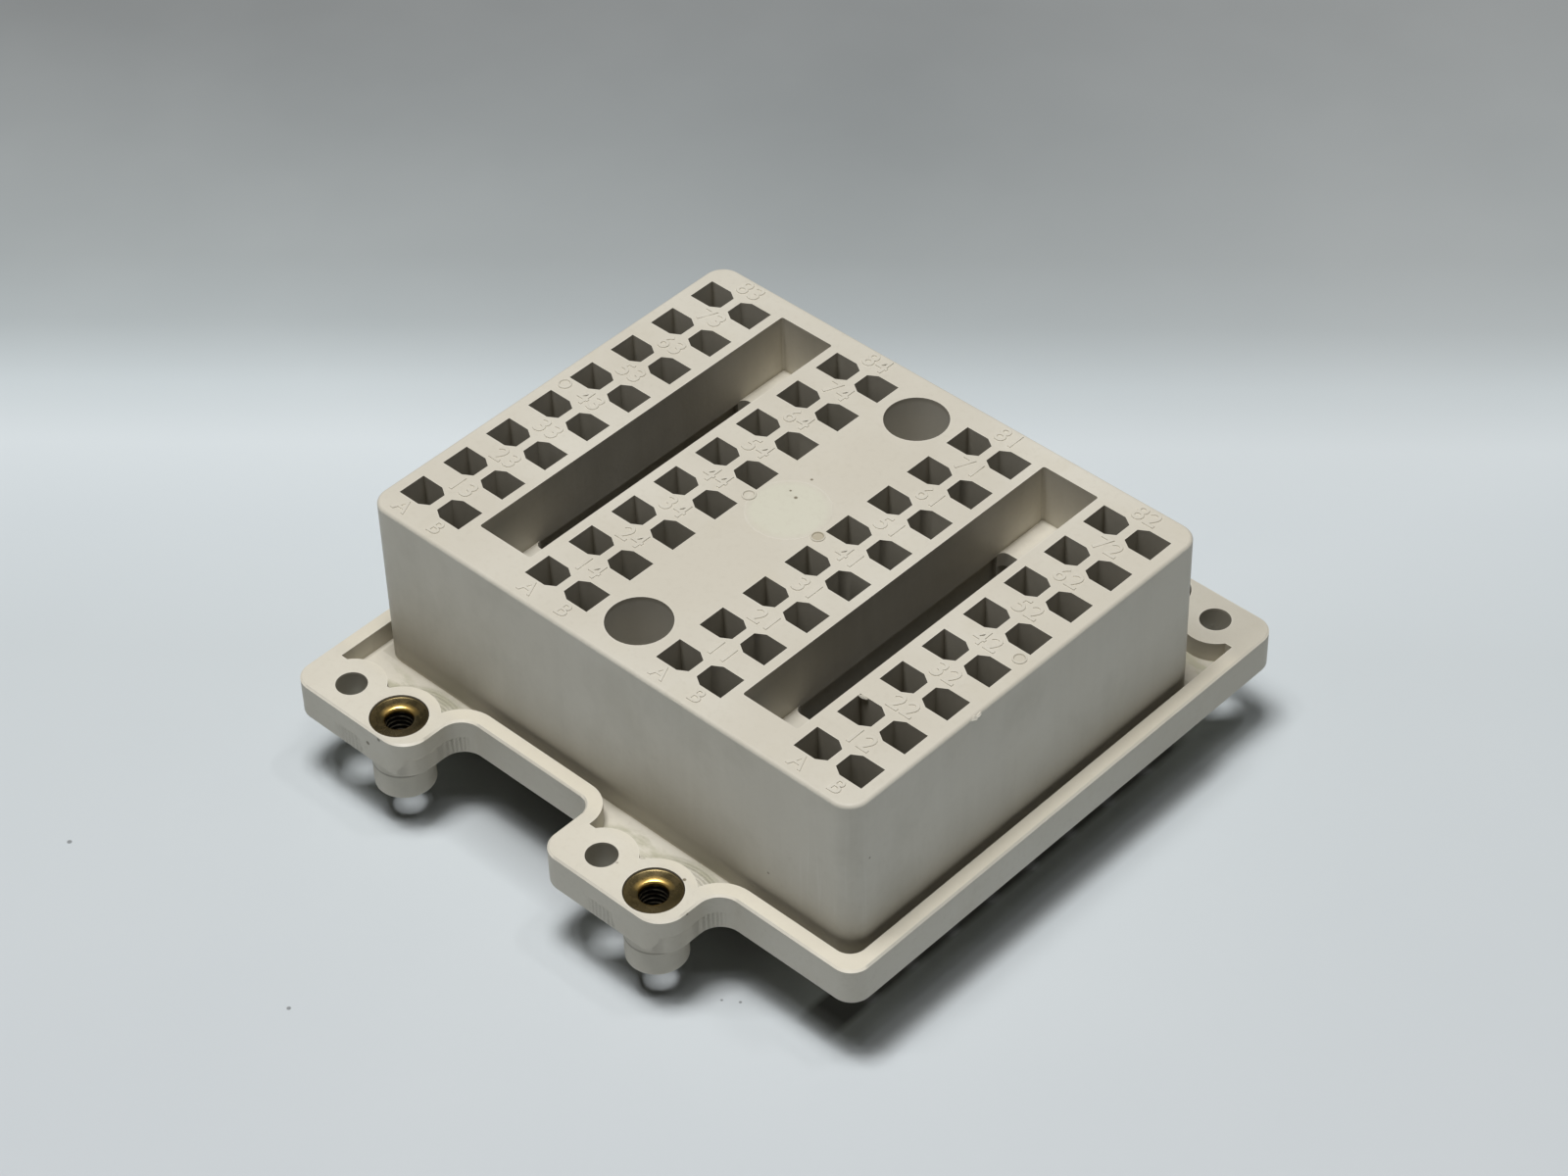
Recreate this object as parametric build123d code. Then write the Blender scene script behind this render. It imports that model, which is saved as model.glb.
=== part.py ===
from build123d import *
import os

# Relay socket: one moulded housing with a field of terminal pockets, two long slots and a
# rimmed flange, and four brass screw inserts pressed into the flange's ears.
# Millimetres. Origin on the ground at the middle of the block, X across the banks of
# pockets, Y along their rows, Z up. The pocket mouths are on top.

# Pocket field
bank_count = 4
row_count = 8
bank_pitch = 21.0
row_pitch = 7.0
pocket_width = 4.4
pocket_length = 3.85
column_web = 1.2
pocket_corner_x = 1.2
pocket_corner_y = 0.75
pocket_floor = 2.5
blade_width = 2.8
blade_thickness = 1.0

# Block that holds the pockets
side_wall = 1.75
end_wall = 3.575
block_corner_radius = 2.75
block_edge_radius = 0.5
block_rise = 21.4
guide_hole_diameter = 8.0
guide_hole_inset = 6.5
core_wall = 2.0
core_roof = 2.0
core_corner_radius = 0.9

# Long slots between the banks, each with a ledge at either end
slot_wall = 1.35
slot_front_margin = 5.7
slot_rear_margin = 3.0
slot_corner_radius = 0.3
ledge_depth = 8.4
ledge_thickness = 2.0
ledge_front_length = 8.1
ledge_rear_length = 7.25
window_corner_radius = 1.0
collar_wall = 1.6
collar_height = 9.5

# Flange: a plate with a raised rim and a trough round the block
flange_height = 5.1
plate_thickness = 2.25
rim_width = 2.0
trough_gap_x = 0.95
trough_gap_y = 1.3
flange_corner_radius = 2.6
trough_corner_radius = 2.2
rim_edge_chamfer = 0.25

# Ears, two at the front and the same two turned half round at the back
ear_pitch = 42.0
ear_width = 19.85
ear_tip_margin = 3.95
ear_hole_inset = 6.5
ear_hole_setback = 5.1
ear_hole_diameter = 3.9
ear_outer_radius = 2.8
ear_insert_radius = 3.5
ear_inner_fillet = 3.0
ear_notch_fillet = 2.1
hole_pad_radius = 4.3
insert_pad_radius = 5.0
trough_end_setback = 2.5

# Brass inserts and their bosses
insert_spacing = 8.25
insert_head_diameter = 7.1
insert_head_thickness = 0.8
insert_body_diameter = 5.6
insert_bore_diameter = 3.3
insert_dish_diameter = 6.6
insert_dish_depth = 0.65
insert_clearance = 0.02
boss_diameter = 7.5
boss_drop = 5.3
boss_edge_chamfer = 0.45

# Sizes that follow from the ones above
half_bank = column_web / 2 + pocket_width
block_width = (bank_count - 1) * bank_pitch + 2 * (half_bank + side_wall)
block_length = (row_count - 1) * row_pitch + pocket_length + 2 * end_wall
plate_top = collar_height + plate_thickness
rim_top = collar_height + flange_height
block_top = rim_top + block_rise
flange_half_width = block_width / 2 + trough_gap_x + rim_width
flange_half_length = block_length / 2 + trough_gap_y + rim_width
ear_reach = ear_hole_setback + ear_tip_margin
slot_width = bank_pitch - 2 * half_bank - 2 * slot_wall
slot_front = -block_length / 2 + slot_front_margin
slot_rear = block_length / 2 - slot_rear_margin
window_front = slot_front + ledge_front_length
window_rear = slot_rear - ledge_rear_length
ledge_top = block_top - ledge_depth
ledge_bottom = ledge_top - ledge_thickness
guide_hole_y = block_length / 2 - guide_hole_inset
first_hole_x = -flange_half_width + ear_hole_inset
hole_y = -flange_half_length - ear_hole_setback
insert_bottom = collar_height - boss_drop
bank_centres = [(i - (bank_count - 1) / 2) * bank_pitch for i in range(bank_count)]
row_centres = [(i - (row_count - 1) / 2) * row_pitch for i in range(row_count)]
slot_centres = [-bank_pitch, bank_pitch]
front_hole_xs = [first_hole_x, first_hole_x + ear_pitch]
hole_places = [(x, hole_y) for x in front_hole_xs]
hole_places += [(-x, -y) for x, y in hole_places]
insert_places = [(x + insert_spacing, hole_y) for x in front_hole_xs]
insert_places += [(-x, -y) for x, y in insert_places]


def rounded_polygon(corners):
    """A flat outline through corners, each given as x, y and its own radius."""
    outline = Polygon(*[(x, y) for x, y, radius in corners], align=None)
    for x, y, radius in corners:
        corner = outline.vertices().sort_by_distance((x, y, 0))[0]
        outline = fillet(corner, radius)
    return outline


def prism(outline, bottom, top):
    """The outline raised from one height to another."""
    return Pos(0, 0, bottom) * extrude(outline, top - bottom)


def discs(places, diameter):
    """One disc at each place."""
    return Sketch() + [Pos(x, y) * Circle(diameter / 2) for x, y in places]


def box_outline(left, right, front, rear, radius):
    """A rectangle between four sides, with rounded corners."""
    middle = Pos((left + right) / 2, (front + rear) / 2)
    return middle * RectangleRounded(right - left, rear - front, radius)


def pocket_outline():
    """The pocket to the right of a bank's centre line, with its two inner corners cut off."""
    inner = column_web / 2
    cut = inner + pocket_corner_x
    half = pocket_length / 2
    corners = [
        (half_bank, -half),
        (half_bank, half),
        (cut, half),
        (inner, half - pocket_corner_y),
        (inner, -half + pocket_corner_y),
        (cut, -half),
    ]
    return Polygon(*corners, align=None)


def at_each_bank(outline):
    """An outline drawn beside a bank's centre line, on both sides of it at every row."""
    pair = [outline, Rot(0, 0, 180) * outline]
    spots = [Pos(x, y) for x in bank_centres for y in row_centres]
    return Sketch() + [spot * side for spot in spots for side in pair]


def make_pockets():
    """Every pocket with the narrow opening for a blade through its floor."""
    blade_x = (column_web + pocket_width) / 2
    mouths = at_each_bank(pocket_outline())
    blades = at_each_bank(Pos(blade_x, 0) * Rectangle(blade_width, blade_thickness))
    floor_top = collar_height + pocket_floor
    return prism(mouths, floor_top, block_top) + prism(blades, collar_height, floor_top)


def make_core():
    """The hollow moulded up into the middle strip from below, which keeps its walls even."""
    half_width = bank_pitch / 2 - half_bank - core_wall
    half_length = guide_hole_y - guide_hole_diameter / 2 - core_wall
    outline = box_outline(-half_width, half_width, -half_length, half_length, core_corner_radius)
    return prism(outline, collar_height, block_top - core_roof)


def make_slot(x):
    """The space of one slot: full length above and below its ledges, shorter between them."""
    left = x - slot_width / 2
    right = x + slot_width / 2
    full = box_outline(left, right, slot_front, slot_rear, slot_corner_radius)
    window = box_outline(left, right, window_front, window_rear, window_corner_radius)
    above = prism(full, ledge_top, block_top)
    between = prism(window, ledge_bottom, ledge_top)
    below = prism(full, 0, ledge_bottom)
    return above + between + below


def make_collar(x):
    """The wall that carries one slot on down to the ground as a foot."""
    reach = slot_width / 2 + collar_wall
    front = slot_front - collar_wall
    rear = slot_rear + collar_wall
    radius = slot_corner_radius + collar_wall
    return prism(box_outline(x - reach, x + reach, front, rear, radius), 0, collar_height)


def make_block():
    """The upright block, rounded at its upright corners and along its top edge."""
    outline = RectangleRounded(block_width, block_length, block_corner_radius)
    block = prism(outline, collar_height, block_top)
    top_edges = block.faces().sort_by(Axis.Z)[-1].edges()
    return fillet(top_edges, block_edge_radius)


def flange_outline(inset, corner_radius):
    """The flange with its ears, drawn this far inside its edge: the front half, then its half turn."""
    front = inset - flange_half_length
    tip = front - ear_reach
    half_outline = []
    for hole_x in front_hole_xs:
        left = hole_x - ear_hole_inset + inset
        right = left + ear_width - 2 * inset
        if hole_x != first_hole_x:
            half_outline.append((left, front, ear_notch_fillet + inset))
        half_outline.append((left, tip, ear_outer_radius - inset))
        half_outline.append((right, tip, ear_insert_radius - inset))
        half_outline.append((right, front, ear_inner_fillet + inset))
    half_outline.append((flange_half_width - inset, front, corner_radius))
    return rounded_polygon(half_outline + [(-x, -y, radius) for x, y, radius in half_outline])


def trough_outline():
    """The trough: inside the rim, short of the ears' tips and clear of the screw pads."""
    trough_end = -hole_y - trough_end_setback
    limit = Rectangle(2 * flange_half_width, 2 * trough_end)
    pads = discs(hole_places, 2 * hole_pad_radius) + discs(insert_places, 2 * insert_pad_radius)
    return (flange_outline(rim_width, trough_corner_radius) & limit) - pads


def make_flange():
    """The plate, its rim and the bosses that hang below the ears round the inserts."""
    flange = prism(flange_outline(0, flange_corner_radius), collar_height, rim_top)
    flange = chamfer(flange.faces().sort_by(Axis.Z)[-1].edges(), rim_edge_chamfer)
    flange -= prism(trough_outline(), plate_top, rim_top)
    bosses = prism(discs(insert_places, boss_diameter), insert_bottom, collar_height)
    bosses = chamfer(bosses.edges().group_by(Axis.Z)[0], boss_edge_chamfer)
    return flange + bosses


def make_insert():
    """One brass insert about its own axis, from its dished head down to its plain end."""
    head = insert_head_diameter / 2
    body = insert_body_diameter / 2
    bore = insert_bore_diameter / 2
    dish = insert_dish_diameter / 2
    neck = rim_top - insert_head_thickness
    section = [
        (bore, insert_bottom),
        (body, insert_bottom),
        (body, neck),
        (head, neck),
        (head, rim_top),
        (dish, rim_top),
        (bore, rim_top - insert_dish_depth),
    ]
    profile = Plane.XZ * Polygon(*section, align=None)
    return revolve(profile, Axis.Z)


def make_insert_seats():
    """The stepped holes that the inserts are pressed into."""
    seat_bottom = rim_top - insert_head_thickness - insert_clearance
    body_diameter = insert_body_diameter + 2 * insert_clearance
    head_diameter = insert_head_diameter + 2 * insert_clearance
    holes = prism(discs(insert_places, body_diameter), insert_bottom, seat_bottom)
    counterbores = prism(discs(insert_places, head_diameter), seat_bottom, rim_top)
    return holes + counterbores


def make_housing():
    """The whole moulding."""
    housing = make_block() + make_flange()
    for x in slot_centres:
        housing += make_collar(x)
    guide_places = [(0, -guide_hole_y), (0, guide_hole_y)]
    housing -= prism(discs(guide_places, guide_hole_diameter), collar_height, block_top)
    housing -= prism(discs(hole_places, ear_hole_diameter), collar_height, rim_top)
    housing -= make_insert_seats()
    housing -= make_core()
    for x in slot_centres:
        housing -= make_slot(x)
    return housing - make_pockets()


os.makedirs("parts", exist_ok=True)
export_step(make_housing(), "parts/housing.step")

insert = make_insert()
insert_names = ["front_left", "front_right", "rear_right", "rear_left"]
for name, (x, y) in zip(insert_names, insert_places):
    export_step(Pos(x, y, 0) * insert, "parts/insert_" + name + ".step")
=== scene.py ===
import math
import bmesh
import bpy
from mathutils import Matrix, Vector, noise


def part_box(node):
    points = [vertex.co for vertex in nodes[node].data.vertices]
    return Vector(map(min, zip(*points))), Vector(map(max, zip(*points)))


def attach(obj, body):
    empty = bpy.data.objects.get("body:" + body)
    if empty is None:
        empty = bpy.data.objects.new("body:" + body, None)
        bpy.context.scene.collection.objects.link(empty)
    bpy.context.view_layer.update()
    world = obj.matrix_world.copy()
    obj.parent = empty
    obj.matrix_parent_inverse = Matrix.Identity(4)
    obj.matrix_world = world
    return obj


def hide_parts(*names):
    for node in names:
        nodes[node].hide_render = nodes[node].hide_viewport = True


# Looks of the relay socket, in the CAD's own frame.
# The block's pockets open upward, X runs across the banks of pockets and Y along their rows.
# Lengths and places are millimetres here, and turn into metres where Blender is given them.
# Scales of noise and other textures are per metre, as Blender takes them.

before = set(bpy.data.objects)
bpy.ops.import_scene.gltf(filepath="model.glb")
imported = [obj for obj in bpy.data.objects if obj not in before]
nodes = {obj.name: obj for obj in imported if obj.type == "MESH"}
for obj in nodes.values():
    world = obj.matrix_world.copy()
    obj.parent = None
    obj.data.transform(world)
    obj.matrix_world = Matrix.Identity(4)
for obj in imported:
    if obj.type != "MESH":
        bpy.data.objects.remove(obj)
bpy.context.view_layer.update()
scene = bpy.context.scene

MM = 0.001

# Sizes and places of the CAD
BLOCK_TOP = 36.0
BLOCK_HALF_WIDTH = 38.25
BLOCK_HALF_LENGTH = 30.0
RIM_TOP = 14.6
TROUGH_FLOOR = 11.75
BANK_CENTRES = [-31.5, -10.5, 10.5, 31.5]
SLOT_OFFSET = 21.0
SLOT_CENTRES = [-SLOT_OFFSET, SLOT_OFFSET]
ROW_COUNT = 8
ROW_PITCH = 7.0
FIRST_ROW = -24.5
GUIDE_HOLE_YS = [-23.5, 23.5]
INSERT_PLACES = [(-26.45, -38.4), (15.55, -38.4), (26.45, 38.4), (-15.55, 38.4)]
SCREW_HOLES = [(-34.7, -38.4), (7.3, -38.4), (34.7, 38.4), (-7.3, 38.4)]
INSERT_NODES = ["insert_front_left", "insert_front_right", "insert_rear_right", "insert_rear_left"]

# Marks that several pieces or materials share
MARK_Y = 0.3
MARK_XS = [-36.0, -5.5, 5.45, 36.0]
GATE_MARK = (-0.3, 1.5, BLOCK_TOP)


# Small helpers

def metres(point):
    """A point given in millimetres, in metres."""
    return [c * MM for c in point]


def add_object(name, data):
    """A new object in the scene, at the origin."""
    obj = bpy.data.objects.new(name, data)
    scene.collection.objects.link(obj)
    return obj


def mesh_from_bmesh(name, bm, smooth=True):
    """A mesh object from a bmesh, which is freed."""
    mesh = bpy.data.meshes.new(name)
    bm.to_mesh(mesh)
    bm.free()
    if smooth:
        mesh.polygons.foreach_set("use_smooth", [True] * len(mesh.polygons))
    return add_object(name, mesh)


def add_ring(bm, x, y, height, radii):
    """A closed row of vertices about an upright axis, one for each radius."""
    row = []
    for i, radius in enumerate(radii):
        angle = 2 * math.pi * i / len(radii)
        point = (x + radius * math.cos(angle), y + radius * math.sin(angle), height)
        row.append(bm.verts.new(metres(point)))
    return row


def join_rows(bm, rows):
    """Faces between each closed row of vertices and the next."""
    for low, high in zip(rows, rows[1:]):
        for i in range(len(low)):
            j = (i + 1) % len(low)
            bm.faces.new((low[i], low[j], high[j], high[i]))


def close_ends(bm, rows):
    """One face over the first row and one over the last."""
    bm.faces.new(rows[0][::-1])
    bm.faces.new(rows[-1])


class Graph:
    """A material's node tree, with short calls to fill it. Its colour is painted layer by layer."""

    def __init__(self, name):
        self.material = bpy.data.materials.new(name)
        self.material.use_nodes = True
        self.tree = self.material.node_tree
        self.shader = self.tree.nodes["Principled BSDF"]
        self.place = self.add("ShaderNodeTexCoord").outputs["Object"]
        self.x, self.y, self.z = self.add("ShaderNodeSeparateXYZ", Vector=self.place).outputs
        self.colour = None

    def add(self, kind, settings=None, **inputs):
        """A node of this kind; inputs are given by name, as a value or a socket."""
        node = self.tree.nodes.new(kind)
        for key, value in (settings or {}).items():
            setattr(node, key, value)
        for key, value in inputs.items():
            self.put(node, key.replace("_", " "), value)
        return node

    def put(self, node, key, value):
        """Sets one input, found by name or number."""
        if isinstance(value, bpy.types.NodeSocket):
            self.tree.links.new(value, node.inputs[key])
        else:
            node.inputs[key].default_value = value

    def math(self, operation, a, b=0.0):
        """One Math node's result."""
        node = self.add("ShaderNodeMath", {"operation": operation})
        self.put(node, 0, a)
        self.put(node, 1, b)
        return node.outputs[0]

    def vectors(self, operation, a, b=(0.0, 0.0, 0.0), output="Value"):
        """One Vector Math node's result."""
        node = self.add("ShaderNodeVectorMath", {"operation": operation})
        self.put(node, 0, a)
        self.put(node, 1, b)
        return node.outputs[output]

    def product(self, first, *others):
        """Several masks multiplied together."""
        for other in others:
            first = self.math("MULTIPLY", first, other)
        return first

    def opposite(self, mask):
        """1 where the mask is 0, and 0 where it is 1."""
        return self.math("SUBTRACT", 1.0, mask)

    def spread(self, value, low, high, to_low=0.0, to_high=1.0):
        """A value stretched from one range to another, and held inside it."""
        node = self.tree.nodes.new("ShaderNodeMapRange")
        for key, number in enumerate((value, low, high, to_low, to_high)):
            self.put(node, key, number)
        return node.outputs[0]

    def ramp(self, length, low, high, to_low=0.0, to_high=1.0):
        """The same for a length, with its range in millimetres."""
        return self.spread(length, low * MM, high * MM, to_low, to_high)

    def off(self, length, middle):
        """How far a coordinate is from a given one, on either side."""
        return self.math("ABSOLUTE", self.math("SUBTRACT", length, middle * MM))

    def near(self, centre, radius, softness, place=None):
        """1 inside a ball round a point, falling to 0 just outside it."""
        gap = self.vectors("DISTANCE", self.place if place is None else place, metres(centre))
        return self.ramp(gap, radius, radius + softness, 1.0, 0.0)

    def noise(self, scale, detail=2.0, roughness=0.5):
        """A noise texture's grey value. Its scale is one number, or three where it is stretched."""
        place = self.place
        if isinstance(scale, tuple):
            place = self.add("ShaderNodeMapping", Vector=place, Scale=scale).outputs[0]
            scale = 1.0
        node = self.add("ShaderNodeTexNoise", Vector=place, Scale=scale, Detail=detail, Roughness=roughness)
        return node.outputs["Fac"]

    def mix(self, factor, a, b):
        """A colour between a and b, each a socket or three numbers."""
        node = self.add("ShaderNodeMix", {"data_type": "RGBA"})
        for key, value in ((0, factor), (6, a), (7, b)):
            self.put(node, key, (*value, 1.0) if isinstance(value, tuple) else value)
        return node.outputs[2]

    def paint(self, mask, rgb, strength=None):
        """Lays a colour over what is there, as far as the mask and the strength say."""
        if strength is not None:
            mask = self.math("MULTIPLY", mask, strength)
        self.colour = self.mix(mask, self.colour, rgb)

    def bump(self, height, distance, normal=None):
        """A bump of that real height."""
        node = self.add("ShaderNodeBump", Height=height, Distance=distance * MM, Strength=1.0)
        if normal is not None:
            self.put(node, "Normal", normal)
        return node.outputs[0]

    def finish(self, roughness, normal=None):
        """The material, with its painted colour and these on its shader."""
        self.put(self.shader, "Base Color", self.colour)
        self.put(self.shader, "Roughness", roughness)
        if normal is not None:
            self.put(self.shader, "Normal", normal)
        return self.material


# Camera at the photograph's viewing angle

CAMERA_PLACE = (245.44, -251.83, 348.50)
CAMERA_TURN = (0.853440, 0.369819, 0.156988, 0.332007)
SENSOR_WIDTH = 36.0
FOCAL_LENGTH = 93.246
CLIP_START = 10.0
CLIP_END = 30000.0

camera_data = bpy.data.cameras.new("camera")
camera_data.sensor_width = SENSOR_WIDTH
camera_data.lens = FOCAL_LENGTH
camera_data.clip_start = CLIP_START * MM
camera_data.clip_end = CLIP_END * MM
camera = add_object("camera", camera_data)
camera.location = metres(CAMERA_PLACE)
camera.rotation_mode = "QUATERNION"
camera.rotation_quaternion = CAMERA_TURN
scene.camera = camera


# Housing plastic: its colours and places, then one function for each kind of mark

GREY_BEIGE = (0.600, 0.560, 0.470)
PALE_BEIGE = (0.662, 0.628, 0.540)
GATE_TINT = (0.640, 0.640, 0.515)
PIP_SHADE = (0.330, 0.275, 0.165)
YELLOWED = (0.560, 0.512, 0.400)
SPECKLE = (0.520, 0.480, 0.395)
POCKET_SHADE = (0.200, 0.185, 0.140)
SLOT_SHADE = (0.300, 0.290, 0.250)
WALL_LOW_SHADE = (0.380, 0.350, 0.275)
WALL_STREAK = (0.480, 0.445, 0.365)
WALL_SCUFF = (0.760, 0.730, 0.660)
WALL_UPPER_LIGHT = (0.805, 0.768, 0.668)
WALL_BLOTCH = (0.430, 0.405, 0.320)
FOOT_SHADE = (0.220, 0.205, 0.155)
RIM_PAINTED_LIGHT = (0.760, 0.700, 0.560)
FAR_EAR_SHADE = (0.200, 0.190, 0.155)
WORN_EDGE_AND_HIGHLIGHT = (0.720, 0.690, 0.605)
CORNER_GRIME_AND_SHADE = (0.330, 0.295, 0.215)
FLECK = (0.160, 0.130, 0.085)
DIRT_SPECK = (0.130, 0.100, 0.055)
SEAM_SHADE = (0.240, 0.210, 0.160)
BRUSHED_DIRT = (0.450, 0.435, 0.300)
PAD_DIRT = (0.380, 0.370, 0.250)
HOLE_SHADE = (0.300, 0.275, 0.215)
GUIDE_HOLE_LIGHT = (0.850, 0.820, 0.740)

SHADED_MARKS = [(5.45, 0.55), (36.0, 0.15)]
SCUFF_PLACE = (36.0, -30.5, 24.0)
FAR_EAR = (32.0, 41.0, RIM_TOP)
SEAM_HEIGHT = 8.1
EAR_MIDDLE_Y = 33.0
EAR_MIDDLE_Z = 12.0
DIRT_SPECKS = [
    ((-27.9, -42.3, 12.1), 0.32), ((-25.8, -42.2, 14.0), 0.34), ((-30.6, -35.9, 11.9), 0.34),
    ((4.0, -33.2, 11.8), 0.26), ((10.9, -35.6, 11.9), 0.35), ((17.0, -34.9, 14.6), 0.25),
    ((-1.1, 3.6, 36.0), 0.26), ((-2.4, 4.1, 36.0), 0.17), ((-1.9, 7.2, 36.0), 0.20),
]


class Moulding(Graph):
    """The plastic's node tree, with the masks that several of its marks share."""

    def __init__(self, name):
        super().__init__(name)
        self.out_x = self.math("ABSOLUTE", self.x)
        self.out_y = self.math("ABSOLUTE", self.y)
        self.normal = self.add("ShaderNodeNewGeometry").outputs["Normal"]
        upright = self.add("ShaderNodeSeparateXYZ", Vector=self.normal).outputs[2]
        self.upward_face = self.spread(upright, 0.80, 0.95)
        self.above_plate = self.ramp(self.z, 11.4, 11.6)
        self.floor_level = self.ramp(self.z, 11.85, 12.05, 1.0, 0.0)
        self.ear_floor = self.make_ear_floor()

    def make_ear_floor(self):
        """1 on the trough's floor inside the four ears."""
        in_ear = 0.0
        for hole, insert in zip(SCREW_HOLES, INSERT_PLACES):
            middle = ((hole[0] + insert[0]) / 2, math.copysign(EAR_MIDDLE_Y, hole[1]), EAR_MIDDLE_Z)
            in_ear = self.math("MAXIMUM", in_ear, self.near(middle, 8.5, 2.5))
        return self.product(in_ear, self.ramp(self.z, 11.9, 12.3, 1.0, 0.0))


def paint_base(g):
    """The mottled warm grey, with the gate mark and painted shade in two ejector marks."""
    cloud = g.noise(38.0, 4.0, 0.55)
    g.colour = g.mix(g.spread(cloud, 0.36, 0.66), GREY_BEIGE, PALE_BEIGE)
    g.paint(g.near(GATE_MARK, 4.2, 1.0), GATE_TINT, 0.5)
    # Painted shade in two of the ejector marks, standing for shallow hollows.
    for x, strength in SHADED_MARKS:
        g.paint(g.near((x, MARK_Y, BLOCK_TOP), 0.72, 0.10), PIP_SHADE, strength)
    g.paint(g.spread(g.noise(150.0, 3.0, 0.5), 0.56, 0.74, 0.0, 0.30), YELLOWED)
    g.paint(g.spread(g.noise(1300.0, 2.0, 0.6), 0.52, 0.80, 0.0, 0.28), SPECKLE)


def paint_openings(g):
    """The pockets and the front ends of the slots, darker the deeper they go."""
    off_slot = g.off(g.out_x, SLOT_OFFSET)
    across = g.product(g.ramp(off_slot, 5.0, 5.4), g.ramp(off_slot, 15.6, 15.9, 1.0, 0.0))
    along = g.ramp(g.out_y, 26.8, 27.2, 1.0, 0.0)
    g.paint(g.product(across, along, g.ramp(g.z, 35.2, 30.0, 0.0, 0.62)), POCKET_SHADE)
    inside_slot = g.ramp(off_slot, 4.2, 4.3, 1.0, 0.0)
    front_end = g.product(g.ramp(g.y, -15.0, -22.0), g.ramp(g.y, -24.6, -24.4))
    g.paint(g.product(inside_slot, front_end, g.ramp(g.z, 35.8, 34.0, 0.0, 0.62)), SLOT_SHADE)


def paint_walls(g):
    """The block's outer walls: painted shade low down, streaked, scuffed at one corner and painted light
    higher up.
    """
    inside = g.product(
        g.ramp(g.out_y, BLOCK_HALF_LENGTH + 0.1, BLOCK_HALF_LENGTH + 0.3, 1.0, 0.0),
        g.ramp(g.out_x, BLOCK_HALF_WIDTH + 0.15, BLOCK_HALF_WIDTH + 0.35, 1.0, 0.0),
    )
    wall = g.product(inside, g.ramp(g.z, BLOCK_TOP - 0.1, BLOCK_TOP - 0.4))
    # Painted shade, strongest low on the walls.
    g.paint(g.product(wall, g.ramp(g.z, 23.0, 12.5, 0.0, 0.42)), WALL_LOW_SHADE)
    streak = g.noise((170.0, 170.0, 20.0), 4.0, 0.6)
    g.paint(g.product(wall, g.spread(streak, 0.44, 0.68, 0.0, 0.32)), WALL_STREAK)
    scratch = g.spread(g.noise((1500.0, 1500.0, 70.0), 2.0, 0.5), 0.56, 0.66, 0.0, 0.28)
    g.paint(g.product(g.near(SCUFF_PLACE, 3.5, 7.0), wall, scratch), WALL_SCUFF)
    # Painted light on the outer walls, strongest higher up.
    outer = g.math("MAXIMUM", g.ramp(g.out_x, 36.6, 37.6), g.ramp(g.out_y, 28.4, 29.4))
    g.paint(g.product(outer, wall, g.ramp(g.z, 17.0, 26.0, 0.0, 0.42)), WALL_UPPER_LIGHT)
    blotch = g.noise((75.0, 75.0, 55.0), 5.0, 0.6)
    g.paint(g.product(wall, g.spread(blotch, 0.48, 0.66, 0.0, 0.26)), WALL_BLOTCH)


def paint_foot(g):
    """Painted shade where the walls meet the trough, thinner in the ears."""
    gap_x = g.math("SUBTRACT", g.out_x, BLOCK_HALF_WIDTH * MM)
    gap_y = g.math("SUBTRACT", g.out_y, BLOCK_HALF_LENGTH * MM)
    beside_wall = g.ramp(g.math("MAXIMUM", gap_x, gap_y), -0.2, 1.2, 1.0, 0.0)
    low_down = g.product(g.ramp(g.z, 11.9, 15.2, 0.76, 0.0), g.above_plate)
    uneven = g.spread(g.noise(120.0, 3.0), 0.30, 0.65, 0.65, 1.0)
    less_in_ear = g.opposite(g.product(g.ear_floor, 0.9))
    # Painted shade in the crease at the walls' foot.
    g.paint(g.product(beside_wall, low_down, uneven, less_in_ear), FOOT_SHADE)


def paint_rim(g):
    """The top of the rim, with yellow painted light along the block, and painted shade on the ear at the
    far right.
    """
    level = g.product(g.ramp(g.z, 14.2, 14.5), g.ramp(g.z, 14.7, 14.9, 1.0, 0.0))
    beside_block = g.ramp(g.out_y, 33.6, 35.6, 1.0, 0.15)
    # Painted light on the rim's top, strongest beside the block.
    g.paint(g.product(level, g.upward_face, beside_block), RIM_PAINTED_LIGHT, 0.5)
    g.paint(g.product(g.near(FAR_EAR, 7.0, 8.0), g.upward_face), FAR_EAR_SHADE, 0.30)


def paint_edges(g):
    """Edges rubbed pale by wear and given a painted highlight, and grime with painted shade in the inner
    corners.
    """
    rounded = g.add("ShaderNodeBevel", {"samples": 6}, Radius=0.35 * MM).outputs[0]
    edge = g.spread(g.vectors("DOT_PRODUCT", rounded, g.normal), 0.999, 0.93, 0.0, 0.55)
    corner = g.add("ShaderNodeAmbientOcclusion", {"samples": 6, "only_local": True}, Distance=0.6 * MM)
    open_air = g.spread(corner.outputs["AO"], 0.62, 0.92)
    # Pale edges: wear and a painted highlight.
    g.paint(g.product(edge, g.spread(g.noise(260.0, 3.0), 0.30, 0.60), open_air), WORN_EDGE_AND_HIGHLIGHT)
    # Grime and painted shade where inner corners are shut in.
    uneven = g.spread(g.noise(170.0, 3.0), 0.30, 0.65, 0.25, 0.75)
    less_in_ear = g.opposite(g.product(g.ear_floor, 0.7))
    g.paint(g.product(g.opposite(open_air), uneven, less_in_ear), CORNER_GRIME_AND_SHADE)


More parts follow.
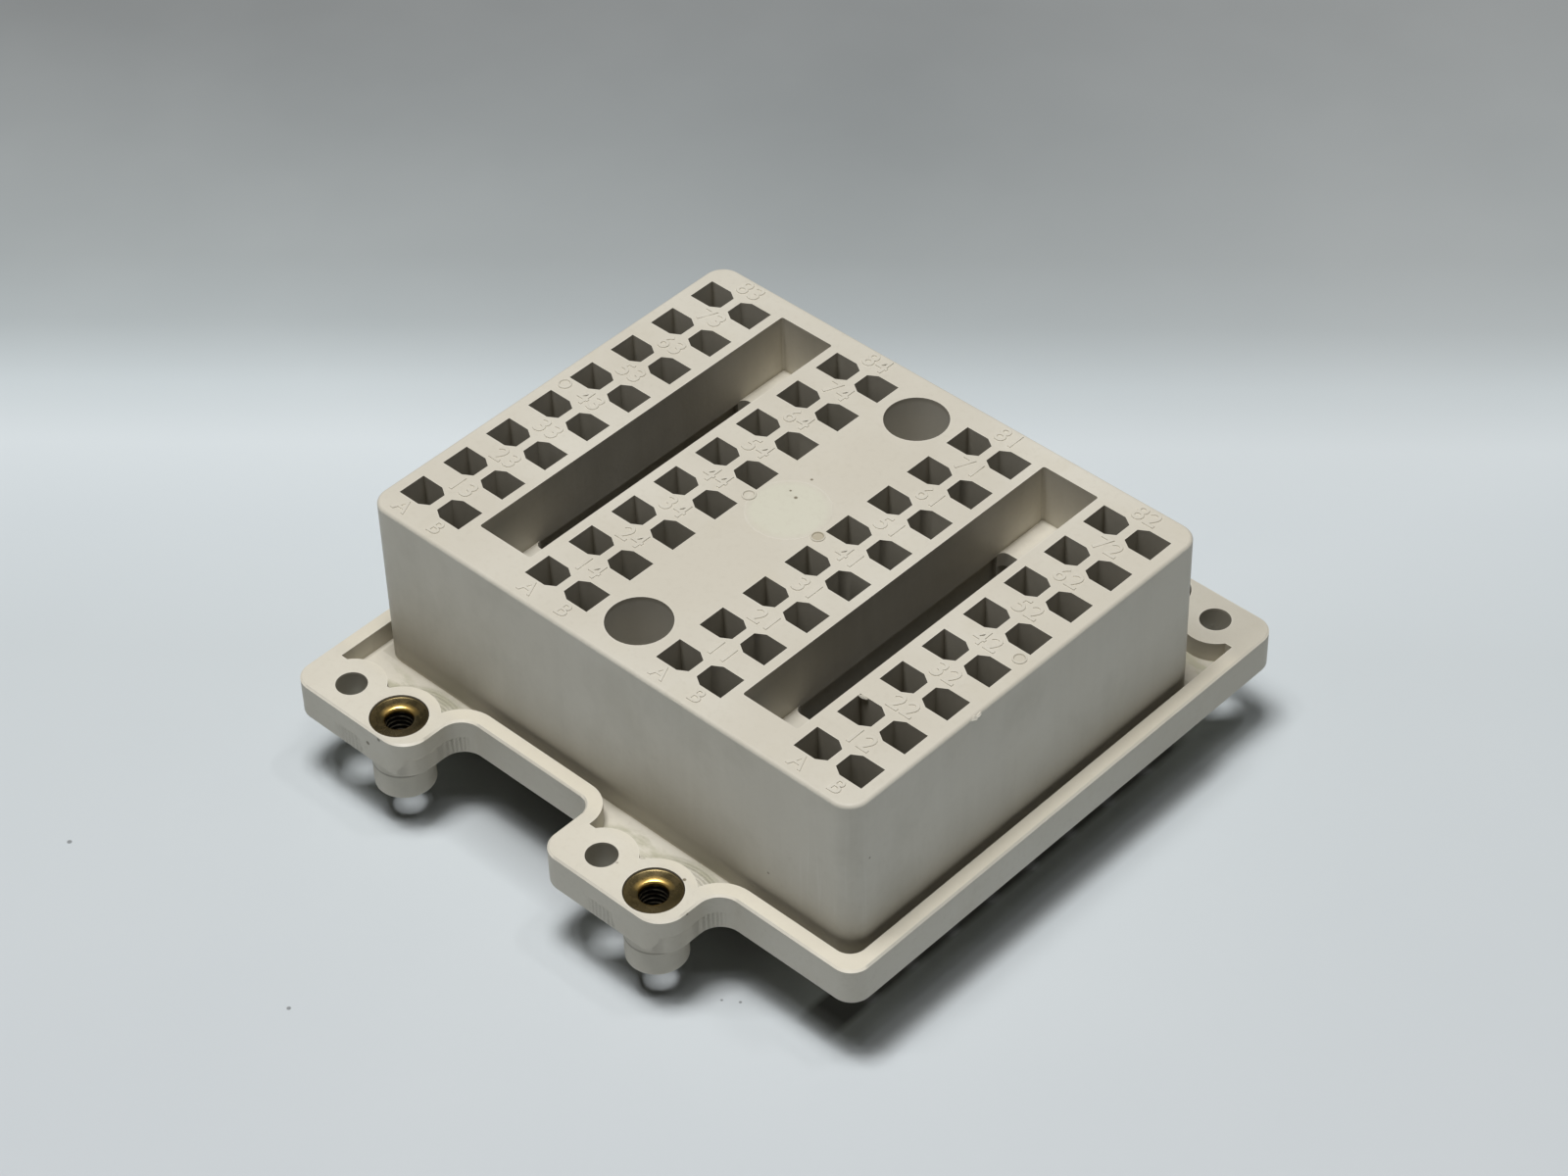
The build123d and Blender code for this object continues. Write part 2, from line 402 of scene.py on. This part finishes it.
def paint_specks(g):
    """Fine flecks in a few places, and the dark specks that show in the photograph."""
    dirt = g.add("ShaderNodeTexVoronoi", {"feature": "F1"}, Vector=g.place, Scale=210.0)
    fleck = g.spread(dirt.outputs["Distance"], 0.030, 0.046, 1.0, 0.0)
    chosen = g.spread(g.noise(21.0, 1.0), 0.60, 0.64)
    g.paint(g.product(fleck, chosen), FLECK, 0.7)
    for spot, radius in DIRT_SPECKS:
        g.paint(g.near(spot, radius * 0.6, radius * 0.5), DIRT_SPECK, 0.85)


def paint_seams(g):
    """The thin line round each boss where two mould halves met."""
    line = g.ramp(g.off(g.z, SEAM_HEIGHT), 0.10, 0.20, 0.62, 0.0)
    for x, y in INSERT_PLACES:
        g.paint(g.product(g.near((x, y, SEAM_HEIGHT), 4.1, 0.1), line), SEAM_SHADE)


def paint_trough(g):
    """Brushed dirt on the trough's floor beside the inserts and round the screw pads."""
    on_floor = g.product(g.upward_face, g.above_plate, g.floor_level)
    brushed = g.spread(g.noise((180.0, 1500.0, 200.0), 3.0, 0.6), 0.48, 0.66, 0.03, 0.46)
    for x, y in INSERT_PLACES:
        g.paint(g.product(g.near((x, y, 12.0), 7.0, 2.0), on_floor, brushed), BRUSHED_DIRT)
    ring_dirt = g.spread(g.noise((240.0, 620.0, 300.0), 4.0, 0.6), 0.44, 0.60, 0.0, 0.58)
    for places, reach in ((INSERT_PLACES, 7.6), (SCREW_HOLES, 7.0)):
        for x, y in places:
            g.paint(g.product(g.near((x, y, TROUGH_FLOOR), reach, 0.9), on_floor, ring_dirt), PAD_DIRT)


def paint_holes(g):
    """The ears' plain holes with painted shade inside, and the two guide holes with painted light inside.
    """
    below_rim = g.ramp(g.z, 14.45, 14.2)
    for x, y in SCREW_HOLES:
        g.paint(g.product(g.near((x, y, 12.0), 3.0, 0.2), below_rim), HOLE_SHADE, 0.45)
    below_top = g.ramp(g.z, 35.7, 35.2)
    # Painted light inside the upper part of the two guide holes.
    column = g.add("ShaderNodeCombineXYZ", X=g.x, Y=g.y).outputs[0]
    for y in GUIDE_HOLE_YS:
        upper = g.product(g.near((0.0, y, 24.0), 13.0, 0.3), below_top)
        g.paint(g.product(upper, g.near((0.0, y, 0.0), 4.1, 0.1, column)), GUIDE_HOLE_LIGHT, 0.6)


def make_grain(g):
    """The moulded surface: fine grain, slow waves, upright drag lines, rings round the pads."""
    normal = g.bump(g.noise(2600.0, 2.0, 0.6), 0.012)
    normal = g.bump(g.noise(120.0, 3.0, 0.5), 0.060, normal)
    normal = g.bump(g.noise((900.0, 900.0, 26.0), 2.0, 0.6), 0.010, normal)
    rings = {"wave_type": "RINGS", "rings_direction": "Z"}
    for x, y in INSERT_PLACES:
        centre = (x, y, TROUGH_FLOOR)
        shifted = g.vectors("SUBTRACT", g.place, metres(centre), "Vector")
        ring = g.add("ShaderNodeTexWave", rings, Vector=shifted, Scale=340.0, Distortion=1.6,
                     Detail=1.0, Detail_Scale=180.0)
        off_pad = g.opposite(g.near(centre, 4.9, 0.1))
        share = g.product(g.near(centre, 7.2, 1.6), g.floor_level, off_pad)
        normal = g.bump(g.product(ring.outputs["Fac"], share), 0.045, normal)
    return normal


def make_plastic():
    """Warm light grey moulded plastic: mottled, slightly matt, with painted shade low down, paler along its
    edges from wear and a painted highlight.
    """
    g = Moulding("moulded_plastic")
    for layer in (paint_base, paint_openings, paint_walls, paint_foot, paint_rim, paint_edges,
                  paint_specks, paint_seams, paint_trough, paint_holes):
        layer(g)
    g.shader.inputs["IOR"].default_value = 1.47
    g.shader.inputs["Specular IOR Level"].default_value = 0.42
    roughness = g.spread(g.noise(90.0, 4.0, 0.6), 0.30, 0.70, 0.40, 0.60)
    return g.finish(roughness, make_grain(g))


plastic = make_plastic()


# Modifiers of the housing, which keeps its CAD mesh. Its angles are in radians.

WELD_DISTANCE = 0.002
FLAT_ANGLE = 0.008
EDGE_ROUNDING = 0.14
EDGE_ANGLE = 0.6
SMOOTH_ANGLE = 0.9
SLOT_STEP_MIDDLE = (1.775, 21.7)
SLOT_STEP_SIZE = (9.7, 33.95, 11.4)


def new_modifier_group(name):
    """An empty node group for a modifier, with the nodes at its start and its end."""
    group = bpy.data.node_groups.new(name, "GeometryNodeTree")
    for direction in ("INPUT", "OUTPUT"):
        group.interface.new_socket("Geometry", in_out=direction, socket_type="NodeSocketGeometry")
    return group, group.nodes.new("NodeGroupInput"), group.nodes.new("NodeGroupOutput")


def smoothing_group(limit):
    """A modifier's node group that shades smoothly and keeps edges steeper than the limit sharp."""
    group, start, end = new_modifier_group("smooth_by_angle")
    clear = group.nodes.new("GeometryNodeRemoveAttribute")
    clear.inputs["Name"].default_value = "custom_normal"
    faces = group.nodes.new("GeometryNodeSetShadeSmooth")
    faces.domain = "FACE"
    edges = group.nodes.new("GeometryNodeSetShadeSmooth")
    edges.domain = "EDGE"
    angle = group.nodes.new("GeometryNodeInputMeshEdgeAngle")
    below = group.nodes.new("FunctionNodeCompare")
    below.data_type = "FLOAT"
    below.operation = "LESS_THAN"
    below.inputs[1].default_value = limit
    link = group.links.new
    link(start.outputs[0], clear.inputs[0])
    link(clear.outputs[0], faces.inputs["Geometry"])
    link(faces.outputs[0], edges.inputs["Geometry"])
    link(angle.outputs["Unsigned Angle"], below.inputs[0])
    link(below.outputs[0], edges.inputs["Shade Smooth"])
    link(edges.outputs[0], end.inputs[0])
    return group


def recess_group(boxes):
    """A modifier's node group that cuts boxes, each given by its centre and size, out of a mesh."""
    group, start, end = new_modifier_group("slot_recess")
    link = group.links.new
    result = start.outputs[0]
    for centre, size in boxes:
        box = group.nodes.new("GeometryNodeMeshCube")
        box.inputs["Size"].default_value = metres(size)
        placed = group.nodes.new("GeometryNodeTransform")
        placed.inputs["Translation"].default_value = metres(centre)
        cut = group.nodes.new("GeometryNodeMeshBoolean")
        cut.operation = "DIFFERENCE"
        link(box.outputs["Mesh"], placed.inputs["Geometry"])
        link(result, cut.inputs["Mesh 1"])
        link(placed.outputs["Geometry"], cut.inputs["Mesh 2"])
        result = cut.outputs["Mesh"]
    link(result, end.inputs[0])
    return group


def dress_housing(housing):
    """Gives the housing its plastic, the step inside its slots and softly rounded edges."""
    housing.data.materials[0] = plastic
    weld = housing.modifiers.new("weld", "WELD")
    weld.merge_threshold = WELD_DISTANCE * MM
    flatten = housing.modifiers.new("flatten", "DECIMATE")
    flatten.decimate_type = "DISSOLVE"
    flatten.angle_limit = FLAT_ANGLE
    widen = housing.modifiers.new("widen", "NODES")
    widen.node_group = recess_group([((x, *SLOT_STEP_MIDDLE), SLOT_STEP_SIZE) for x in SLOT_CENTRES])
    soften = housing.modifiers.new("soften", "BEVEL")
    soften.width = EDGE_ROUNDING * MM
    soften.segments = 2
    soften.limit_method = "ANGLE"
    soften.angle_limit = EDGE_ANGLE
    smooth = housing.modifiers.new("smooth", "NODES")
    smooth.node_group = smoothing_group(SMOOTH_ANGLE)
    weighted = housing.modifiers.new("weighted", "WEIGHTED_NORMAL")
    weighted.keep_sharp = True


dress_housing(nodes["housing"])


# Raised row numbers and column letters, and the round ejector marks

BANK_UNITS = [3, 4, 1, 2]
NUMBER_SIZE = 3.5
LETTER_SIZE = 3.0
LETTER_OFFSET = 2.8
LETTER_ROW = -28.0
LETTER_SPACING = 1.12
LETTER_RISE = 0.08
LETTER_ROUNDING = 0.06
LETTER_THINNING = 0.01
EJECTOR_PROFILE = [(0.88, -0.05), (0.88, 0.10), (0.82, 0.16), (0.70, 0.16), (0.62, 0.02)]
EJECTOR_SIDES = 32
GATE_PROFILE = [(5.24, -0.05), (5.21, 0.01), (5.10, 0.035), (4.90, 0.022)]
GATE_SIDES = 96


def add_letters(bm, body, size, x, y):
    """Adds raised letters to a bmesh, upright in X and Y, centred on a point of the block's top."""
    curve = bpy.data.curves.new("letters", "FONT")
    curve.body = body
    curve.size = size * MM
    curve.align_x = "CENTER"
    curve.align_y = "CENTER"
    curve.space_character = LETTER_SPACING
    curve.resolution_u = 3
    curve.extrude = LETTER_RISE * MM
    curve.bevel_depth = LETTER_ROUNDING * MM
    curve.bevel_resolution = 1
    curve.offset = -LETTER_THINNING * MM
    carrier = add_object("letters", curve)
    bpy.context.view_layer.update()
    solid = carrier.evaluated_get(bpy.context.evaluated_depsgraph_get())
    mesh = bpy.data.meshes.new_from_object(solid)
    mesh.transform(Matrix.Translation(metres((x, y, BLOCK_TOP))))
    bm.from_mesh(mesh)
    bpy.data.objects.remove(carrier)
    bpy.data.curves.remove(curve)
    bpy.data.meshes.remove(mesh)


def add_mark(bm, x, y, z, profile, sides):
    """Adds a low body turned about an upright axis to a bmesh, from a profile of radius and height."""
    rows = [add_ring(bm, x, y, z + height, [radius] * sides) for radius, height in profile]
    join_rows(bm, rows)
    close_ends(bm, rows)


def make_labels():
    """The row numbers between the columns of each bank, and its two column letters."""
    bm = bmesh.new()
    for x, units in zip(BANK_CENTRES, BANK_UNITS):
        for row in range(ROW_COUNT):
            y = FIRST_ROW + row * ROW_PITCH + ROW_PITCH / 2
            add_letters(bm, str((row + 1) * 10 + units), NUMBER_SIZE, x, y)
        add_letters(bm, "A", LETTER_SIZE, x - LETTER_OFFSET, LETTER_ROW)
        add_letters(bm, "B", LETTER_SIZE, x + LETTER_OFFSET, LETTER_ROW)
    labels = mesh_from_bmesh("row_labels", bm, smooth=False)
    labels.data.materials.append(plastic)
    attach(labels, "root")


def make_ejector_marks():
    """The four small round marks and the wide, low ring of the gate."""
    bm = bmesh.new()
    for x in MARK_XS:
        add_mark(bm, x, MARK_Y, BLOCK_TOP, EJECTOR_PROFILE, EJECTOR_SIDES)
    add_mark(bm, *GATE_MARK, GATE_PROFILE, GATE_SIDES)
    pips = mesh_from_bmesh("ejector_marks", bm, smooth=False)
    pips.data.materials.append(plastic)
    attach(pips, "root")


make_labels()
make_ejector_marks()


# Brass inserts with a turned dish, a rounded throat and a cut thread

BRASS_DARK = (0.135, 0.106, 0.052)
BRASS_LIGHT = (0.215, 0.165, 0.080)
BRASS_GLINT = (0.780, 0.520, 0.160)
BRASS_NEAR_REFLECTION = (0.320, 0.250, 0.140)
RIM_GAP_SHADE = (0.040, 0.030, 0.014)
BORE_SHADE = (0.012, 0.010, 0.008)
THREAD_CREST = (0.400, 0.365, 0.280)
GLINT_SIDE = (-0.698, 0.716, 0.0)
TOOL_MARKS = 42000.0

INSERT_SIDES = 64
THREAD_ROWS_PER_TURN = 9
THREAD_PITCH = 0.7
THREAD_LEAD_IN = 1.1
MINOR_RADIUS = 1.65
MAJOR_RADIUS = 2.00
THROAT_RADIUS = 1.67
THROAT_DROP = 0.95
HEAD_RADIUS = 3.55
HEAD_THICKNESS = 0.80
BODY_RADIUS = 2.80
END_RADIUS = 2.66
END_BEVEL = 0.15
DISH_PROFILE = [
    (THROAT_RADIUS, THROAT_DROP), (1.68, 0.82), (1.70, 0.70), (1.74, 0.59), (1.80, 0.505), (1.88, 0.445),
    (1.98, 0.405), (2.11, 0.378), (2.27, 0.356), (2.48, 0.332), (2.80, 0.292), (3.05, 0.258), (3.22, 0.235),
    (3.33, 0.21), (3.42, 0.175), (3.49, 0.18), (3.53, 0.24), (HEAD_RADIUS, 0.34),
]


def make_brass():
    """Tarnished turned brass, with a painted highlight at the throat's far side, a painted reflection on
    its near side and painted shade in the gap at its rim, black in the bore with pale crests.
    """
    g = Graph("tarnished_brass")
    flat = g.add("ShaderNodeCombineXYZ", X=g.x, Y=g.y).outputs[0]
    radius = g.vectors("LENGTH", flat)
    side = g.vectors("DOT_PRODUCT", flat, GLINT_SIDE)
    cloud = g.noise(620.0, 4.0, 0.6)
    g.colour = g.mix(g.spread(cloud, 0.35, 0.68), BRASS_DARK, BRASS_LIGHT)
    # Painted highlight at the throat, on the side away from the camera.
    glint = g.product(g.ramp(radius, 2.60, 1.98), g.ramp(side, 0.2, 1.4))
    g.paint(glint, BRASS_GLINT, 0.95)
    # Painted reflection: lighter on the side towards the camera.
    g.paint(g.ramp(side, -1.2, -3.0, 0.0, 0.6), BRASS_NEAR_REFLECTION)
    # Painted shade in the gap round the head's rim.
    rim = g.ramp(radius, 3.28, 3.42)
    g.paint(rim, RIM_GAP_SHADE, 0.8)
    deep = g.ramp(g.z, 13.55, 13.76, 1.0, 0.0)
    g.paint(deep, BORE_SHADE)
    crest = g.product(deep, g.ramp(radius, 1.75, THROAT_RADIUS))
    g.paint(g.product(crest, g.spread(cloud, 0.40, 0.62, 0.15, 1.0)), THREAD_CREST)
    g.shader.inputs["Metallic"].default_value = 1.0
    roughness = g.spread(cloud, 0.30, 0.72, 0.22, 0.32)
    for mask, more in ((rim, 0.28), (glint, 0.08), (deep, 0.12)):
        roughness = g.math("ADD", roughness, g.product(mask, more))
    normal = g.bump(g.math("SINE", g.product(radius, TOOL_MARKS)), 0.002)
    normal = g.bump(g.noise(900.0, 3.0, 0.6), 0.006, normal)
    return g.finish(roughness, normal)


def thread_radius(angle, height, bottom, throat):
    """The bore's radius at one place of the helix, narrowed to the throat at both ends."""
    turn = (height / THREAD_PITCH - angle / (2 * math.pi)) % 1.0
    wave = min(1.0, max(0.0, 1.35 * abs(2 * turn - 1) - 0.12))
    radius = MAJOR_RADIUS + (MINOR_RADIUS - MAJOR_RADIUS) * wave
    lead = THROAT_RADIUS - min(height - bottom, throat - height) * THREAD_LEAD_IN
    return max(radius, lead)


def make_insert(node):
    """One insert about its own axis, standing for its CAD node."""
    low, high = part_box(node)
    bottom, top = low.z / MM, high.z / MM
    throat = top - THROAT_DROP
    outline = [(radius, top - drop) for radius, drop in DISH_PROFILE]
    outline += [
        (HEAD_RADIUS, top - HEAD_THICKNESS),
        (BODY_RADIUS, top - HEAD_THICKNESS),
        (BODY_RADIUS, bottom + END_BEVEL),
        (END_RADIUS, bottom),
        (THROAT_RADIUS, bottom),
    ]
    bm = bmesh.new()
    rows = [add_ring(bm, 0.0, 0.0, height, [radius] * INSERT_SIDES) for radius, height in outline]
    angles = [2 * math.pi * i / INSERT_SIDES for i in range(INSERT_SIDES)]
    steps = int((throat - bottom) / THREAD_PITCH * THREAD_ROWS_PER_TURN)
    for step in range(1, steps):
        height = bottom + (throat - bottom) * step / steps
        radii = [thread_radius(angle, height, bottom, throat) for angle in angles]
        rows.append(add_ring(bm, 0.0, 0.0, height, radii))
    join_rows(bm, rows + rows[:1])
    bmesh.ops.recalc_face_normals(bm, faces=bm.faces)
    piece = mesh_from_bmesh("brass_" + node, bm)
    piece.location = ((low.x + high.x) / 2, (low.y + high.y) / 2, 0.0)
    piece.data.materials.append(brass)
    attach(piece, "root")
    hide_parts(node)


brass = make_brass()
for node in INSERT_NODES:
    make_insert(node)


# Burrs left along the top edges, each with its two ends, width, height and seed

BURRS = [
    ((38.12, -10.5, 35.66), (38.20, -8.7, 35.74), 0.46, 0.34, 1.7),
    ((10.8, -29.75, 35.80), (13.4, -29.75, 35.80), 0.30, 0.20, 4.1),
    ((26.3, -15.8, 35.95), (27.7, -15.65, 35.95), 0.22, 0.16, 7.3),
    ((33.0, -29.8, 35.80), (35.2, -29.6, 35.80), 0.25, 0.16, 9.9),
]
BURR_STEPS = 14
BURR_ROOT = 0.1
BURR_LEAST_WIDTH = 0.02


def add_burr(bm, start, end, width, height, seed):
    """A thin torn ridge between two points, highest in its middle."""
    start, end = Vector(start), Vector(end)
    across = (end - start).normalized().cross(Vector((0, 0, 1)))
    rows = []
    for i in range(BURR_STEPS + 1):
        t = i / BURR_STEPS
        swell = math.sin(math.pi * t) ** 0.6
        ragged = 0.55 + 0.9 * noise.noise(Vector((seed, t * 6.0, 0.0)))
        half = width * swell * (0.5 + 0.5 * ragged) + BURR_LEAST_WIDTH
        rise = height * swell * max(ragged, 0.15)
        section = [(-half, -BURR_ROOT), (-half * 0.4, rise * 0.8), (half * 0.3, rise), (half, -BURR_ROOT)]
        middle = start.lerp(end, t)
        points = [middle + across * out + Vector((0, 0, up)) for out, up in section]
        rows.append([bm.verts.new(metres(point)) for point in points])
    join_rows(bm, rows)
    close_ends(bm, rows)


def make_burrs():
    """All the burrs as one piece."""
    bm = bmesh.new()
    for start, end, width, height, seed in BURRS:
        add_burr(bm, start, end, width, height, seed)
    bmesh.ops.recalc_face_normals(bm, faces=bm.faces)
    burrs = mesh_from_bmesh("edge_burrs", bm, smooth=False)
    burrs.data.materials.append(plastic)
    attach(burrs, "root")


make_burrs()


# Floor and backdrop: one large pale sheet, with painted light and shade that turn it greyer away behind the
# object

SHEET_SIZE = 3000.0
AWAY_FROM_VIEW = (-0.656, 0.756, 0.0)
SHEET_NEAR = -105.0
SHEET_FAR = 295.0
SHEET_STOPS = [
    (-75.0, (0.596, 0.632, 0.655)), (15.0, (0.596, 0.640, 0.658)), (40.0, (0.640, 0.690, 0.714)),
    (55.0, (0.690, 0.742, 0.765)), (67.0, (0.600, 0.655, 0.675)), (80.0, (0.440, 0.480, 0.490)),
    (95.0, (0.370, 0.400, 0.405)), (123.0, (0.315, 0.338, 0.342)), (155.0, (0.280, 0.295, 0.297)),
]
SHEET_CLOUD = (0.780, 0.800, 0.800)
SHEET_SHADE_PATCH = (0.175, 0.180, 0.180)
SHEET_LIGHT_PATCH = (0.500, 0.515, 0.515)
SHEET_SPECK = (0.100, 0.100, 0.100)
SHEET_SHADOW = (0.090, 0.085, 0.080)
SHADES = [
    ((-70.0, 110.0, 0.0), 15.0, 90.0, 0.22, SHEET_SHADE_PATCH),
    ((-200.0, 85.0, 0.0), 45.0, 55.0, 0.24, SHEET_SHADE_PATCH),
    ((5.0, 155.0, 0.0), 35.0, 60.0, 0.20, SHEET_LIGHT_PATCH),
]
SHEET_SPECKS = [(-12.7, -70.1, 0.20), (23.3, -36.1, 0.10), (25.1, -34.9, 0.12), (-52.0, -70.0, 0.24)]
UNDER_SHIFT = 6.0
UNDER_HALF_WIDTH = 25.0
UNDER_HALF_LENGTH = 27.0
RIGHT_BANK_BAND = 34.0
RIGHT_EDGE_BAND = 41.3


def paint_distance(g):
    """Painted light and shade on the sheet along the view, from near to far."""
    fade = g.add("ShaderNodeValToRGB")
    away = g.vectors("DOT_PRODUCT", g.place, AWAY_FROM_VIEW)
    g.put(fade, 0, g.ramp(away, SHEET_NEAR, SHEET_FAR))
    elements = fade.color_ramp.elements
    while len(elements) < len(SHEET_STOPS):
        elements.new(0.5)
    for element, (distance, rgb) in zip(elements, SHEET_STOPS):
        element.position = (distance - SHEET_NEAR) / (SHEET_FAR - SHEET_NEAR)
        element.color = (*rgb, 1.0)
    g.colour = fade.outputs["Color"]


def paint_shadow_under_object(g):
    """Painted shadow below the object, and in two narrow bands at its right."""
    out_y = g.math("ABSOLUTE", g.y)
    past_x = g.math("MAXIMUM", g.math("SUBTRACT", g.off(g.x, -UNDER_SHIFT), UNDER_HALF_WIDTH * MM), 0.0)
    past_y = g.math("MAXIMUM", g.math("SUBTRACT", out_y, UNDER_HALF_LENGTH * MM), 0.0)
    outside = g.math("SQRT", g.math("ADD", g.product(past_x, past_x), g.product(past_y, past_y)))
    g.paint(g.ramp(outside, 0.0, 13.0, 0.72, 0.0), SHEET_SHADOW)
    along_edge = g.ramp(out_y, 29.0, 33.0, 1.0, 0.0)
    right_bank = g.ramp(g.off(g.x, RIGHT_BANK_BAND), 1.9, 2.9, 0.85, 0.0)
    right_edge = g.ramp(g.off(g.x, RIGHT_EDGE_BAND), 0.2, 2.4, 0.40, 0.0)
    g.paint(g.product(along_edge, g.math("ADD", right_bank, right_edge)), SHEET_SHADOW)


def make_sheet():
    """The matt pale sheet: faintly cloudy, with soft patches of painted shade and light, a few specks and a
    painted shadow below.
    """
    g = Graph("pale_sheet")
    paint_distance(g)
    g.paint(g.spread(g.noise(14.0, 4.0, 0.55), 0.30, 0.70, 0.0, 0.10), SHEET_CLOUD)
    # Soft patches of painted shade and painted light.
    for centre, radius, softness, strength, rgb in SHADES:
        g.paint(g.near(centre, radius, softness), rgb, strength)
    for x, y, radius in SHEET_SPECKS:
        g.paint(g.near((x, y, 0.0), radius, 0.12), SHEET_SPECK, 0.65)
    paint_shadow_under_object(g)
    g.shader.inputs["Specular IOR Level"].default_value = 0.0
    return g.finish(0.55)


bm = bmesh.new()
bmesh.ops.create_grid(bm, x_segments=8, y_segments=8, size=SHEET_SIZE * MM)
floor = mesh_from_bmesh("floor", bm)
floor.data.materials.append(make_sheet())


# Soft light from above: a ceiling lamp, a row towards the camera and a strip on either side

ACROSS_VIEW = Vector((0.716, 0.698, 0.0))
TOWARDS_VIEW = Vector((0.698, -0.716, 0.0))
LAMP_HEIGHT = 1150.0
LAMP_TARGET = Vector((0.0, 0.0, 15.0))


def add_lamp(name, across, towards, size, energy):
    """A rectangular lamp that looks at the middle of the object, its first side across the view."""
    place = ACROSS_VIEW * across + TOWARDS_VIEW * towards + Vector((0.0, 0.0, LAMP_HEIGHT))
    data = bpy.data.lights.new(name, "AREA")
    data.shape = "RECTANGLE"
    data.size, data.size_y = metres(size)
    data.energy = energy
    lamp = add_object(name, data)
    back = (place - LAMP_TARGET).normalized()
    side = (ACROSS_VIEW - back * ACROSS_VIEW.dot(back)).normalized()
    turn = Matrix((side, back.cross(side), back)).transposed()
    lamp.matrix_world = Matrix.Translation(place * MM) @ turn.to_4x4()


add_lamp("ceiling", -90.0, 30.0, (340.0, 260.0), 10.2)
add_lamp("front_row", 0.0, 260.0, (720.0, 80.0), 1.7)
add_lamp("strip_left", -360.0, 100.0, (50.0, 100.0), 0.8)
add_lamp("strip_right", 340.0, -30.0, (50.0, 100.0), 0.8)


# Weak even light from all round, with a paler backdrop for the camera and for reflections

AMBIENT_COLOUR = (1.0, 0.98, 0.95, 1.0)
AMBIENT_STRENGTH = 0.012
BACKDROP_STOPS = [(0.10, (0.44, 0.46, 0.47, 1.0)), (0.55, (0.10, 0.10, 0.10, 1.0))]
BACKDROP_RAYS = ["Is Camera Ray", "Is Glossy Ray", "Is Transmission Ray"]


def make_world():
    """The world's node tree: the light, and the backdrop that takes its place on the rays that see it."""
    world = bpy.data.worlds.new("world")
    world.use_nodes = True
    tree = world.node_tree
    link = tree.links.new
    ambient = tree.nodes["Background"]
    ambient.inputs["Color"].default_value = AMBIENT_COLOUR
    ambient.inputs["Strength"].default_value = AMBIENT_STRENGTH
    looking = tree.nodes.new("ShaderNodeTexCoord")
    upward = tree.nodes.new("ShaderNodeSeparateXYZ")
    fade = tree.nodes.new("ShaderNodeValToRGB")
    for element, (position, colour) in zip(fade.color_ramp.elements, BACKDROP_STOPS):
        element.position = position
        element.color = colour
    seen = tree.nodes.new("ShaderNodeBackground")
    seen.inputs["Strength"].default_value = 1.0
    link(looking.outputs["Generated"], upward.inputs[0])
    link(upward.outputs["Z"], fade.inputs[0])
    link(fade.outputs[0], seen.inputs["Color"])
    path = tree.nodes.new("ShaderNodeLightPath")
    any_of = path.outputs[BACKDROP_RAYS[0]]
    for ray in BACKDROP_RAYS[1:]:
        either = tree.nodes.new("ShaderNodeMath")
        either.operation = "MAXIMUM"
        link(any_of, either.inputs[0])
        link(path.outputs[ray], either.inputs[1])
        any_of = either.outputs[0]
    blend = tree.nodes.new("ShaderNodeMixShader")
    link(any_of, blend.inputs[0])
    link(ambient.outputs[0], blend.inputs[1])
    link(seen.outputs[0], blend.inputs[2])
    link(blend.outputs[0], tree.nodes["World Output"].inputs[0])
    return world


scene.world = make_world()
scene.view_settings.view_transform = "Standard"
